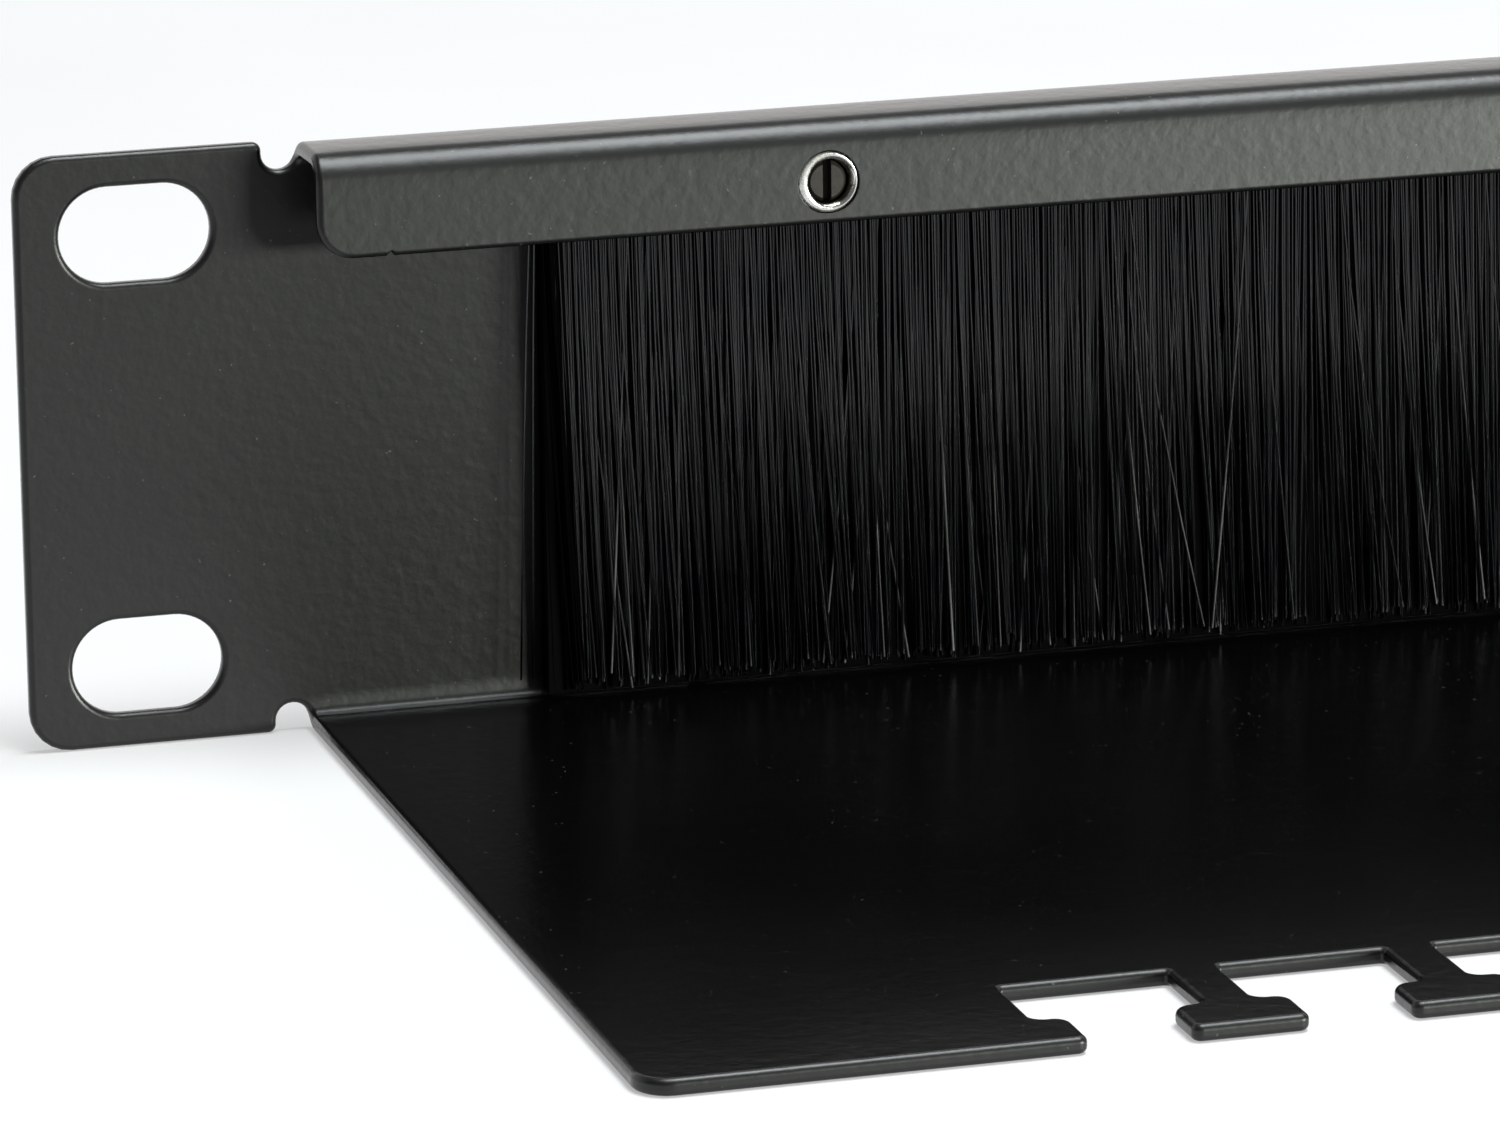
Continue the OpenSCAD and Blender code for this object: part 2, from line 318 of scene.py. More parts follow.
def circle_path(centre, radius, count=48):
    """Points and outward normals of a round hole, taken clockwise so the sheet lies to its left."""
    a = -np.linspace(0, 2 * np.pi, count, endpoint=False)
    ray = np.stack([np.cos(a), np.sin(a)], -1)
    return np.asarray(centre) + radius * ray, -ray


bend_r = 0.6
mid_r = bend_r + sheet_t / 2
bend_s = np.pi / 2 * mid_r
plate_s = half_h - sheet_t - bend_r
flange_d, lip_h = 6.2, 7.5
flange_s = flange_d - sheet_t - 2 * bend_r
lip_s = lip_h - sheet_t - bend_r
shelf_s = shelf_d - bend_r
fold_x = 220.7
relief_w, relief_d = 2.5, 2.1
lip_end = plate_s + bend_s + flange_s + bend_s + lip_s
shelf_end = -(plate_s + bend_s + shelf_s)
shelf_to_s = shelf_end + shelf_d
print(f"developed blank: {2 * half_w:.1f} x {lip_end - shelf_end:.1f} mm")

# %% [markdown]
# The T-shaped lugs come from cutting a row of slots, each wide behind the heads with a
# narrow mouth that runs out through the free edge. One slot is eight corners: four
# rounded ones on the lug heads, two where head and neck meet, two crisp ones at the back.

# %% Outline of the blank
tie_pitch, tie_slots = 15.0, 26
slot_w, slot_d = 11.5, 7.1
mouth_w, head_d = 7.0, 4.7
head_back = -shelf_d + head_d + shelf_to_s
slot_back = head_back + slot_d

slot_corners = np.array([
    (-mouth_w / 2, shelf_end), (-mouth_w / 2, head_back), (-slot_w / 2, head_back), (-slot_w / 2, slot_back),
    (slot_w / 2, slot_back), (slot_w / 2, head_back), (mouth_w / 2, head_back), (mouth_w / 2, shelf_end),
])
slot_radii = np.array([0.7, 1.2, 0.9, 0.25, 0.25, 0.9, 1.2, 0.7])
slot_x = (np.arange(tie_slots) - (tie_slots - 1) / 2) * tie_pitch
row_corners = (slot_corners[None] + np.stack([slot_x, 0 * slot_x], -1)[:, None]).reshape(-1, 2)
row_radii = np.tile(slot_radii, tie_slots)

notch_x = fold_x + relief_w
notch_s = half_h - relief_d
right_side = np.array([
    (fold_x, shelf_end), (fold_x, -notch_s), (notch_x, -notch_s), (notch_x, -half_h),
    (half_w, -half_h), (half_w, half_h), (notch_x, half_h), (notch_x, notch_s),
    (fold_x, notch_s), (fold_x, lip_end),
])
right_radii = np.array([2.4, relief_w / 2 - 0.001, relief_w / 2 - 0.001, 0.6, 3, 3, 0.6, relief_w / 2 - 0.001, relief_w / 2 - 0.001, 2.6])
outline = np.vstack([row_corners, right_side, right_side[::-1] * (-1, 1)])
outline_radii = np.concatenate([row_radii, right_radii, right_radii[::-1]])

brush_end = channel_high[0]
window_x = brush_end - 5.0
window_low = -half_h + sheet_t + 5.4
window_high = channel_low[2] - 3.0
window = [(-window_x, window_low), (-window_x, window_high), (window_x, window_high), (window_x, window_low)]

paths = [rounded_path(outline, outline_radii), rounded_path(window, 2.0, 12)]
mount_x, mount_z, mount_l, mount_h = 232.55, 15.875, 11.0, 7.0
for sx in (-1, 1):
    for sz in (-1, 1):
        box = np.array([(-1, -1), (-1, 1), (1, 1), (1, -1)]) * (mount_l / 2, mount_h / 2)
        paths.append(rounded_path(box + (sx * mount_x, sz * mount_z), mount_h / 2 - 0.001, 14))

screw_z = screw_places[0][2]
nut_shank_r = 2.25
screw_s = plate_s + bend_s + flange_s + bend_s + (plate_s - screw_z)
paths += [circle_path((p[0], screw_s), nut_shank_r + 0.03) for p in screw_places]
print("blank:", len(paths), "closed paths,", sum(len(p) for p, _ in paths), "points")

# %% [markdown]
# ## Soft edges and the two faces
# A sheared edge under powder coat is never sharp: the coat rounds it over almost 0.5 mm.
# Round the nut holes it is crisper, since the nut fills them to the rim. Each path is
# therefore repeated as a stack of rings. A ring at angle t
# lies r(1 - sin t) inside the edge and r(1 - cos t) below the face, with its normal
# leaning by the same t. The two flat faces are filled by a constrained triangulation
# of the innermost rings, and triangles whose middle lies in a hole are dropped.

# %% Rings round every cut edge
sheared_r, nut_hole_r = 0.46, 0.07
tilt = np.linspace(0, np.pi / 2, 6)
inset = np.concatenate([1 - np.sin(tilt), 1 - np.sin(tilt[::-1])])
drop = np.concatenate([-(1 - np.cos(tilt)), 1 - np.cos(tilt[::-1])])
face = np.repeat([sheet_t / 2, -sheet_t / 2], len(tilt))
lean_out = np.concatenate([np.sin(tilt), np.sin(tilt[::-1])])
lean_up = np.concatenate([np.cos(tilt), -np.cos(tilt[::-1])])

edge = np.vstack([p for p, _ in paths])
edge_normal = np.vstack([n for _, n in paths])
sizes = np.array([len(p) for p, _ in paths])
first = np.repeat(np.cumsum(sizes) - sizes, sizes)
edge_r = np.repeat([sheared_r] * (len(paths) - len(screw_places)) + [nut_hole_r] * len(screw_places), sizes)
index = np.arange(len(edge))
following = np.where(index + 1 < first + np.repeat(sizes, sizes), index + 1, first)

ring_count, n_edge = len(inset), len(edge)
flat = np.empty((ring_count, n_edge, 3))
flat[..., :2] = edge[None] - (inset[:, None] * edge_r[None])[..., None] * edge_normal[None]
flat[..., 2] = face[:, None] + drop[:, None] * edge_r[None]
flat_normal = np.empty_like(flat)
flat_normal[..., :2] = lean_out[:, None, None] * edge_normal[None]
flat_normal[..., 2] = lean_up[:, None]
ring = np.arange(ring_count - 1)[:, None] * n_edge
rim_faces = np.stack([ring + index, ring + following, ring + n_edge + following, ring + n_edge + index], -1).reshape(-1, 4)
print("rim:", ring_count, "rings,", len(rim_faces), "quads")

# %% Fill the two flat faces


def inside(points, starts, ends):
    """Even-odd rule: a point is inside where a ray toward +x crosses the paths an odd number of times."""
    x, y = points[:, 0:1], points[:, 1:2]
    spans = (starts[None, :, 1] > y) != (ends[None, :, 1] > y)
    rise = np.where(ends[:, 1] == starts[:, 1], 1e-9, ends[:, 1] - starts[:, 1])
    cross = starts[None, :, 0] + (y - starts[None, :, 1]) / rise * (ends[:, 0] - starts[:, 0])
    return ((spans & (x < cross)).sum(1) % 2) == 1


cap = flat[0, :, :2]
found = delaunay_2d_cdt([Vector(p) for p in cap.tolist()], np.stack([index, following], -1).tolist(), [], 0, 1e-7)
origin = np.array([min(ids) if ids else -1 for ids in found[3]])
triangles = origin[np.array([f for f in found[2]])]
middles = cap[triangles].mean(1)
triangles = triangles[inside(middles, cap, cap[following])]
a, b, c = cap[triangles[:, 0]], cap[triangles[:, 1]], cap[triangles[:, 2]]
clockwise = (b - a)[:, 0] * (c - a)[:, 1] - (b - a)[:, 1] * (c - a)[:, 0] < 0
triangles[clockwise] = triangles[clockwise][:, ::-1]
last_ring = (ring_count - 1) * n_edge
print("each face:", len(triangles), "triangles, no stray points:", bool((origin >= 0).all()))

# %% [markdown]
# ## Folding
# The fold is a walk along the sheet. The heading turns by a quarter turn over each
# bend, and the position is the running sum of the heading's cosine and sine. A real
# bend does not start at a line: the sheet already leans a few degrees over the last two
# millimetres, and that soft shoulder is what catches the light beside every fold. So a
# share of each quarter turn is spread over a longer stretch. At the foot only the
# plate's side leans, which gives a band of light above a tight, dark bend. A point keeps
# its height above the middle surface and its normal is turned by the same heading. The
# ears lie beyond the relief notches and stay flat, and the shoulders fade out toward
# them.
#
# Two small faults belong to this panel. The lip springs back a few degrees, which is
# done in its shading normals only, so that its nuts stay flush. Its lower edge has a
# nick near the end, a narrow triangular shift of the edge.

# %% Walk round the bends
shoulder_s, foot_s = 1.6, 1.2
bend_middles = [
    (plate_s + bend_s / 2, 1, shoulder_s, 0.26),
    (plate_s + bend_s * 1.5 + flange_s, 1, shoulder_s, 0.26),
    (-(plate_s + bend_s / 2), -1, foot_s, 0.13),
]
lip_spring = np.radians(8.0)
nick_x = -215.4
steps_s = np.linspace(shelf_end - 1, lip_end + 1, 60001)


def fold_table(softness):
    """Heading, y and z of the middle surface at each of steps_s, with y = t/2 and z = 0 at s = 0."""
    quarter = np.zeros_like(steps_s)
    for middle, side, shoulder, share in bend_middles:
        share = share * softness
        middle = middle - (side < 0) * 0.75 * share
        tight = np.clip((steps_s - middle) / bend_s + 0.5, 0, 1)
        if side > 0:
            wide = np.clip((steps_s - middle) / (bend_s + 2 * shoulder) + 0.5, 0, 1)
        else:
            wide = np.clip((steps_s - middle - bend_s / 2) / shoulder, 0, 1)
        wide = wide * wide * (3 - 2 * wide)
        turned = (1 - share) * tight + share * wide
        quarter += turned if side > 0 else turned - 1
    way = np.pi / 2 * (1 + quarter)
    step = steps_s[1] - steps_s[0]
    y = np.cumsum(np.cos(way)) * step
    z = np.cumsum(np.sin(way)) * step
    y += sheet_t / 2 - np.interp(0, steps_s, y)
    z -= np.interp(0, steps_s, z)
    return way, y, z


tables = [fold_table(0.0), fold_table(1.0)]
for label, (way, y, z) in zip(("tight", "soft"), tables):
    print(label, "fold: lip at y", round(float(y[-3000] - sheet_t / 2), 2), "shelf at z", round(float(z[3000] - sheet_t / 2), 2))


def fold(points, normals):
    """Folds flat points (x, s, height) and their normals into the panel's frame."""
    x, s, h = points.T
    s = s - 0.35 * np.clip(1 - np.abs(x - nick_x) / 0.3, 0, 1) * np.clip((s - lip_end) / 0.6 + 1, 0, 1)
    soft = np.clip((fold_x + relief_w / 2 - np.abs(x)) / 3.0, 0, 1)
    (way, y, z), soft_one = [[np.interp(s, steps_s, column) for column in table] for table in tables]
    way, y, z = [tight + soft * (wide - tight) for tight, wide in zip((way, y, z), soft_one)]
    ear = np.abs(x) > fold_x + relief_w / 2
    way, y, z = np.where(ear, np.pi / 2, way), np.where(ear, sheet_t / 2, y), np.where(ear, s, z)
    n = np.stack([0 * x, np.sin(way), -np.cos(way)], -1)
    place = np.stack([x, y, z], -1) + h[:, None] * n
    way = way - lip_spring * np.clip((s - bend_middles[1][0]) / bend_s + 0.5, 0, 1)
    t = np.stack([0 * x, np.cos(way), np.sin(way)], -1)
    n = np.stack([0 * x, np.sin(way), -np.cos(way)], -1)
    across = np.stack([normals[:, 0], 0 * x, 0 * x], -1)
    return place, across + normals[:, 1:2] * t + normals[:, 2:3] * n


# %% Cut the blank at the bends and fold it
core_steps = np.linspace(-0.5, 0.5, 10) * bend_s
rim_steps = bend_s / 2 + shoulder_s * np.array([0.15, 0.35, 0.6, 1.0])
bend_steps = np.concatenate([-rim_steps[::-1], core_steps, rim_steps])
stations = [(0, s) for s in np.unique(np.concatenate([bend[0] + bend_steps for bend in bend_middles]).round(4))]
stations += [(side * (fold_x + relief_w / 2 - d), 0) for side in (-1, 1) for d in (0.0, 1.0, 2.0, 3.0)]
stations += [(nick_x + d, 0) for d in (-0.3, 0.0, 0.3)]
blank = bmesh.new()
scratch = bpy.data.meshes.new("blank")
scratch.from_pydata(flat.reshape(-1, 3).tolist(), [], rim_faces.tolist() + triangles[:, ::-1].tolist() + (triangles + last_ring).tolist())
leaning = scratch.attributes.new("leaning", "FLOAT_VECTOR", "POINT")
leaning.data.foreach_set("vector", flat_normal.reshape(-1))
blank.from_mesh(scratch)
for x, s in stations:
    everything = blank.verts[:] + blank.edges[:] + blank.faces[:]
    bmesh.ops.bisect_plane(blank, geom=everything, plane_co=(x, s, 0), plane_no=(float(x != 0), float(x == 0), 0), dist=1e-5)
bmesh.ops.triangulate(blank, faces=[f for f in blank.faces if len(f.verts) > 4])
blank.to_mesh(scratch)
blank.free()

cut = np.empty(3 * len(scratch.vertices))
scratch.vertices.foreach_get("co", cut)
cut_normal = np.empty_like(cut)
scratch.attributes["leaning"].data.foreach_get("vector", cut_normal)
folded, folded_normal = fold(cut.reshape(-1, 3), cut_normal.reshape(-1, 3))
folded_normal /= np.linalg.norm(folded_normal, axis=1, keepdims=True)
scratch.attributes.remove(scratch.attributes["leaning"])
scratch.vertices.foreach_set("co", (folded * mm).reshape(-1))
scratch.polygons.foreach_set("use_smooth", np.ones(len(scratch.polygons), bool))
scratch.normals_split_custom_set_from_vertices(folded_normal.tolist())
panel = bpy.data.objects.new("folded_sheet", scratch)
bpy.context.scene.collection.objects.link(panel)
scratch.calc_loop_triangles()
corner = np.array([t.vertices for t in scratch.loop_triangles])
volume = np.einsum("ij,ij->i", folded[corner[:, 0]], np.cross(folded[corner[:, 1]], folded[corner[:, 2]])).sum() / 6
print("folded sheet:", len(scratch.polygons), "faces, box", folded.min(0).round(2), folded.max(0).round(2))
print("volume", round(float(volume), 1), "mm3, positive because the faces point outward")

# %% [markdown]
# ## Powder coat
# Powder coat melts into a skin with fine orange peel: shallow waves about a millimetre
# across, with a finer grain on top. It is built as two layers of noise in one Bump
# node. A trace of dust lies on it as pale specks, made from a noise so sharp that only
# its peaks show, and slow smudges change the gloss from hand to hand. Seen along the
# surface even a satin coat mirrors sharply, so Layer Weight lowers the roughness there:
# the shelf shows a dark image of the brush, while the upright faces stay satin.

# %% Powder coat
coat = Finish("powder_coat")
peel = coat.noise(1.1, detail=1.0) + 0.35 * coat.noise(0.35, detail=1.0, seed=3.0)
smudge = coat.noise(28.0, detail=3.0, seed=7.0).between(0.35, 0.7)
speck = coat.noise(0.28, detail=0.0, seed=11.0).between(0.81, 0.85)
glancing = coat.node("ShaderNodeLayerWeight", sockets={"Blend": 0.5}, output="Facing")
powder_coat = coat.surface(
    Base_Color=coat.blend(speck * 0.22, (0.0005, 0.0007, 0.0005, 1), grey(0.25)),
    Roughness=0.425 + smudge * 0.04 - glancing * 0.32,
    Specular_IOR_Level=0.48,
    Normal=coat.node("ShaderNodeBump", sockets={"Strength": 1.0, "Distance": 0.026 * mm, "Height": peel}),
)
finished(panel, powder_coat, replaces=["panel"])
print("powder coat on", panel.name)

# %% [markdown]
# ## Filaments
# A strip brush holds some thousands of nylon filaments, folded in half over a wire. They
# leave the channel side by side and lean a little as they go down, in clumps that part
# and cross. Hair systems would be the usual tool, but a part that is kept as a mesh
# needs real geometry, so each filament is a thin prism with five sides.
#
# Along a filament u runs from 0 at the channel to 1 at the tip. Its sideways shift is
# lean * u^1.35 + pull * u^1.6 + wave * sin(pi * u). The lean has a share for its clump
# and a smaller one of its own, and the pull draws all filaments of a clump toward the
# clump's middle, which opens the dark partings. One in eleven strays: it leans its own
# way and crosses the others. One array operation bends all of them together.
#
# Two values are stored at each point for the material to read. The first says how
# scuffed and pale a filament is; on some strays and at the cut end it is much paler,
# which is painted highlight standing in for their glints. `shade` says how far it lies
# in the shade of its neighbours, and the material paints that shade.

# %% Filament arrays
filament_r = 0.085
root_z = curtain_high[2] - 3.0
curtain_y = (curtain_low[1] + curtain_high[1]) / 2
tip_z = curtain_low[2]
brush_half = brush_end - 1.4


def filaments(name, x, y, lean, toward_y, tips, radius, tone_and_glint, shade, sides=5):
    """Prisms with a few sides along root + lean(u), one for each entry of the arrays.

    The centre line is x + lean(u) and y + toward_y(u). Each ring is a circle of points
    about it, and the normals point straight out from it, so that a prism shades round.
    """
    along = np.array([0, 0.29, 0.54, 0.78, 0.985, 1.0])[None, :]
    u, rings = along, along.shape[1]
    z = root_z + (tips[:, None] - root_z) * along
    cx = x[:, None] + lean(along)
    cy = y[:, None] + toward_y(along)
    a = np.arange(sides)[None, None] * 2 * np.pi / sides + x[:, None, None] * 40
    thick = radius[:, None, None] * np.ones_like(u)[..., None]
    points = np.stack([cx[..., None] + thick * np.cos(a), cy[..., None] + thick * np.sin(a), z[..., None] + 0 * (a + thick)], -1)
    normals = np.stack([np.cos(a) + 0 * thick, np.sin(a) + 0 * thick, 0 * (a + thick)], -1)
    count, whole = len(x), sides * rings
    start = np.arange(count)[:, None, None] * whole
    walls = (start + grid_faces(rings, sides)[:, ::-1][None]).reshape(-1, 4)
    caps = np.array([np.arange(sides), np.arange(sides)[::-1] + whole - sides])
    ends = (start + caps[None]).reshape(-1, sides)
    piece = as_piece(name, points.reshape(-1, 3), [walls, ends], normals.reshape(-1, 3))
    # Painted glint: the last ring, at the cut end, is made paler still.
    paleness_and_tip_glint = tone_and_glint[:, None] + (along == 1) * (tone_and_glint[:, None] * 37.0 % 1.0) ** 2 * 0.5
    for label, values in (("tone_and_glint", paleness_and_tip_glint), ("shade", shade[:, None] + 0 * along)):
        layer = piece.data.attributes.new(label, "FLOAT", "POINT")
        layer.data.foreach_set("value", np.repeat(values.reshape(-1), sides))
    return piece


print("filament radius", filament_r, "mm, from z", round(float(root_z), 2), "to", round(float(tip_z), 2))

# %% Layers of filaments
def clumped_layer(name, count, y_low, y_high, clump_w, lean_mean, lean_spread, gather, seed, outward, longer, dim):
    """One depth of the brush: roots spread evenly, leaning clump by clump.

    dim is the share of its filaments that lie in the shade of their neighbours lower down.
    """
    rng = np.random.default_rng(seed)
    x = np.linspace(-brush_half + 0.15, brush_half - 0.15, count) + rng.normal(0, 0.05, count)
    y = rng.uniform(y_low, y_high, count)
    widths = rng.uniform(0.4, 1.8, int(2 * brush_half / clump_w * 1.3)) * clump_w
    borders = -brush_half + np.cumsum(widths)
    clump = np.searchsorted(borders, x)
    clump_lean = rng.normal(lean_mean, lean_spread, len(borders) + 1)
    clump_mid = np.concatenate([[-brush_half], borders]) + clump_w / 2
    stray = rng.random(count) < 0.09
    own = np.where(stray, rng.normal(0.6, 2.1, count), rng.normal(0, 0.42, count))
    shift = clump_lean[clump] + own
    pull = gather * (clump_mid[clump] - x)
    wave = rng.normal(0, 0.07, count)
    out = rng.normal(0, 0.07, count) + np.where(stray, outward * rng.uniform(0, 0.35, count), 0)
    keep_in = np.clip(x + shift, -brush_half + 0.2, brush_half - 0.2) - x
    tips = tip_z - longer + rng.uniform(0.0, 0.45, count) + rng.exponential(0.10, count)
    # Painted highlight: half the strays are made much paler than the rest, for the glints of single filaments.
    tone_and_glint = rng.random(count) ** 4 * 0.12 + np.where(stray & (rng.random(count) < 0.5), rng.uniform(0.15, 0.9, count), 0)
    shade = np.where(stray, 0.0, (rng.random(count) < dim) * rng.uniform(0.75, 1.0, count))
    # Painted shade: within about 1.3 mm of each end of the brush, every filament goes fully to the dull black.
    shade = shade + 2.0 * (np.abs(x + 0.3 * rng.normal(0, 1, count)) > brush_half - 1.3)
    return filaments(
        name, x, y,
        lambda u: keep_in[:, None] * u ** 1.35 + pull[:, None] * u ** 1.6 + wave[:, None] * np.sin(np.pi * u),
        lambda u: out[:, None] * u ** 2,
        tips, filament_r * rng.uniform(0.75, 1.12, count), tone_and_glint, shade,
    )


back_y, front_y = curtain_low[1], curtain_high[1]
layers = [
    clumped_layer("filaments_back_outer", 2100, back_y + 0.12, back_y + 0.45, 1.7, 1.1, 0.45, 0.22, 11, -1, 0.0, 0.60),
    clumped_layer("filaments_back_inner", 2300, back_y + 0.50, back_y + 1.0, 2.3, 0.6, 0.75, 0.15, 12, -1, 0.55, 1.0),
    clumped_layer("filaments_front_inner", 2300, front_y - 1.0, front_y - 0.50, 2.3, 0.6, 0.75, 0.15, 13, 1, 0.45, 1.0),
    clumped_layer("filaments_front_outer", 2100, front_y - 0.45, front_y - 0.12, 1.7, 0.9, 0.45, 0.22, 14, 1, 0.0, 0.60),
]

# A few filaments at each end have sprung outward over the edge of the window.
loose_x = np.array([-brush_half - 0.2, -brush_half - 0.5, brush_half + 0.3])
loose_swing = np.array([-0.75, -1.35, 0.9])
layers.append(filaments(
    "filaments_loose", loose_x, np.full(3, curtain_y - 0.7), lambda u: loose_swing[:, None] * u ** 0.8,
    lambda u: 0 * u * loose_swing[:, None], np.full(3, tip_z + 0.8), np.full(3, filament_r), np.full(3, 0.1), np.ones(3),
))
print("filaments:", sum(len(o.data.polygons) for o in layers), "faces in", len(layers), "layers")

# %% [markdown]
# Behind the outer layers thousands more fill the curtain. Nobody sees them one by one,
# so a thin dark core with rounded ends stands for them and keeps light from leaking
# through. Its matte near-black is painted shade, and it reaches 0.6 mm below the
# filament tips, so that the gap beneath them reads as shade.

# %% Dark core of the brush
core_corners = [
    (curtain_y - 0.45, tip_z - 0.6), (curtain_y + 0.45, tip_z - 0.6),
    (curtain_y + 0.45, curtain_high[2] - 0.4), (curtain_y - 0.45, curtain_high[2] - 0.4),
]
core_points, _ = rounded_path(core_corners, 0.3, 4)
core_x = np.linspace(-brush_half + 0.3, brush_half - 0.3, 60)
core_grid = np.stack([
    np.repeat(core_x, len(core_points)),
    np.tile(core_points[:, 0], len(core_x)),
    np.tile(core_points[:, 1], len(core_x)),
], -1)
sides = grid_faces(len(core_x), len(core_points))
ends = [np.arange(len(core_points))[None, ::-1], np.arange(len(core_points))[None] + len(core_grid) - len(core_points)]
core = as_piece("filament_core", core_grid, [sides[:, ::-1], *ends])
print("core:", len(core.data.polygons), "faces")

# %% [markdown]
# ## Nylon
# Black nylon filament is nearly as glossy as glass but very dark, so what shows is its
# sheen, not its colour. Some sheen is painted into the colour all the same: the dark base
# is tinted faintly blue for the bluish sheen, and the pale strays and cut ends, paler
# still toward the tips, are painted highlight. A slow noise makes some lengths of the
# paler filaments show more, as scuffed filament does. Lower down the brush opens, and
# filaments that lie deeper get little light. A Mix Shader carries those over to a dull
# black by their stored shade and their height, which is painted shade, so that single
# lit filaments cross a black ground.

# %% Nylon
nylon = Finish("bristle_nylon")
tone_and_glint = nylon.node("ShaderNodeAttribute", {"attribute_name": "tone_and_glint"}, output="Fac")
scuff = nylon.noise(1.2, nylon.place(1.0, 1.0, 0.15), seed=2.0).between(0.45, 0.8)
low_down = nylon.node("ShaderNodeSeparateXYZ", sockets={"Vector": nylon.place()}, output="Z")
shade = nylon.node("ShaderNodeAttribute", {"attribute_name": "shade"}, output="Fac")
high_up = low_down.between((tip_z + 3.0) * mm, (tip_z + 25.0) * mm)
hidden = (shade * (1 - high_up) + (shade - 1)).between(0.0, 1.0)
# Painted sheen: a faint blue in the dark base, and pale strays and cut ends that grow paler toward the tips.
sheen = nylon.node("ShaderNodeBsdfPrincipled", sockets={
    "Base Color": nylon.blend(tone_and_glint * (0.3 + 0.7 * scuff) * (1 - 0.8 * high_up), (0.0010, 0.0014, 0.0024, 1), grey(0.24)),
    "Roughness": 0.09 + 0.06 * scuff, "Specular IOR Level": 0.5,
})
gloom = nylon.node("ShaderNodeBsdfPrincipled", sockets={
    "Base Color": grey(0.0004), "Roughness": 0.8, "Specular IOR Level": 0.02,
})
either = nylon.node("ShaderNodeMixShader", sockets={0: hidden, 1: sheen, 2: gloom})
nylon.node("ShaderNodeOutputMaterial", sockets={"Surface": either})
bristle_nylon = nylon.material
# Painted shade: a matte black with almost no gloss, a little lighter in patches.
painted_shade_core = Finish("bristle_shade")
shade_mottle = painted_shade_core.noise(0.4, painted_shade_core.place(1.0, 1.0, 0.02), detail=2.0)
bristle_shade = painted_shade_core.surface(
    Base_Color=painted_shade_core.blend(shade_mottle, grey(0.0005), grey(0.0015)), Roughness=0.9, Specular_IOR_Level=0.03
)
for layer in layers:
    finished(layer, bristle_nylon)
finished(core, bristle_shade, replaces=["bristles"])
print("nylon on", len(layers), "layers and the core")

# %% [markdown]
# ## Turned pieces
# Nuts and screws are turned; here the nuts are made so, each one a profile of radius and
# height swept round its axis, while the screws keep their solids. `turned` makes the
# whole grid at once. The profile is a list of points taken from the axis outward and
# back, and a function may push each point by an amount that depends on the angle,
# which cuts a thread.

# %% Turn a profile round an axis


def turned(name, place, profile, count=64, shape=None):
    """Sweeps (radius, height) points about the screw's axis, with height toward -Y from place."""
    profile = np.asarray(profile, float)
    a = np.linspace(0, 2 * np.pi, count, endpoint=False)
    radius = np.repeat(profile[:, 0:1], count, 1)
    high = np.repeat(profile[:, 1:2], count, 1)
    if shape is not None:
        radius, high = shape(radius, high, a[None])
    points = np.stack([place[0] + radius * np.cos(a), place[1] - high, place[2] + radius * np.sin(a)], -1)
    return points.reshape(-1, 3), grid_faces(len(profile), count)


lip_y = -flange_d
print("the lip's face is at y =", round(float(lip_y), 2))

# %% [markdown]
# The clinch nut is pressed into the lip before painting, so its bright zinc ring shows
# flush with the black face. The ring is slightly crowned, its mouth is chamfered, and
# the thread inside shows as fine crescents. The mouth was struck off centre, so the
# ring is broad on one side and narrow on the other, and the paint ends in a ragged line
# round it. The screw is black, cut across with a slot, and sits a little below the ring.

# %% Nuts
nut_profile = [
    (1.56, -2.60), (1.56, -0.95), (1.64, -0.80), (1.56, -0.62), (1.66, -0.45), (1.62, -0.30), (1.66, -0.18),
    (1.70, -0.09), (1.74, -0.03), (1.81, 0.01), (1.96, 0.03), (2.10, 0.025), (2.19, 0.0), (2.24, -0.05),
    (2.25, -0.2), (2.25, -1.2), (2.62, -1.2), (2.70, -1.28), (2.70, -2.52), (2.62, -2.60), (1.56, -2.60),
]


def off_centre(radius, high, angle):
    """Moves the mouth a little toward +x and cuts thread crescents that fade round the turn."""
    mouth = np.clip((2.2 - radius) / 0.4, 0, 1) * (high > -0.2)
    thread = 0.05 * np.sin(9 * high - angle) * (radius < 1.75) * (high > -1.5) * (0.5 - 0.5 * np.cos(angle))
    ragged = 0.02 * np.sin(5 * angle + 1) * np.sin(11 * angle) * (radius < 1.95) * (high > -0.5)
    return radius + 0.21 * np.cos(angle) * mouth + thread + ragged, high


nuts = []
for place, node in zip(screw_places, nut_nodes):
    points, faces = turned(node, (place[0], lip_y, place[2]), nut_profile, 72, off_centre)
    nut = as_piece("turned_" + node, points, [faces])
    reach_out = nut.data.attributes.new("reach", "FLOAT", "POINT")
    reach_out.data.foreach_set("value", np.hypot(points[:, 0] - place[0], points[:, 2] - place[2]))
    depth = nut.data.attributes.new("depth", "FLOAT", "POINT")
    depth.data.foreach_set("value", points[:, 1] - lip_y)
    nuts.append((nut, node))
print("nuts:", len(nuts), "of", len(nuts[0][0].data.polygons), "faces")

# %% Bright zinc
bright = Finish("zinc_plate")
turning = bright.noise(0.12, bright.place(), detail=2.0, seed=1.0)
stain = bright.noise(1.4, detail=2.0, seed=5.0).between(0.45, 0.75)
rim = bright.node("ShaderNodeAttribute", {"attribute_name": "reach"}, output="Fac")
painted = (rim + 0.22 * bright.noise(0.45, detail=2.0, seed=9.0)).between(2.30, 2.33)
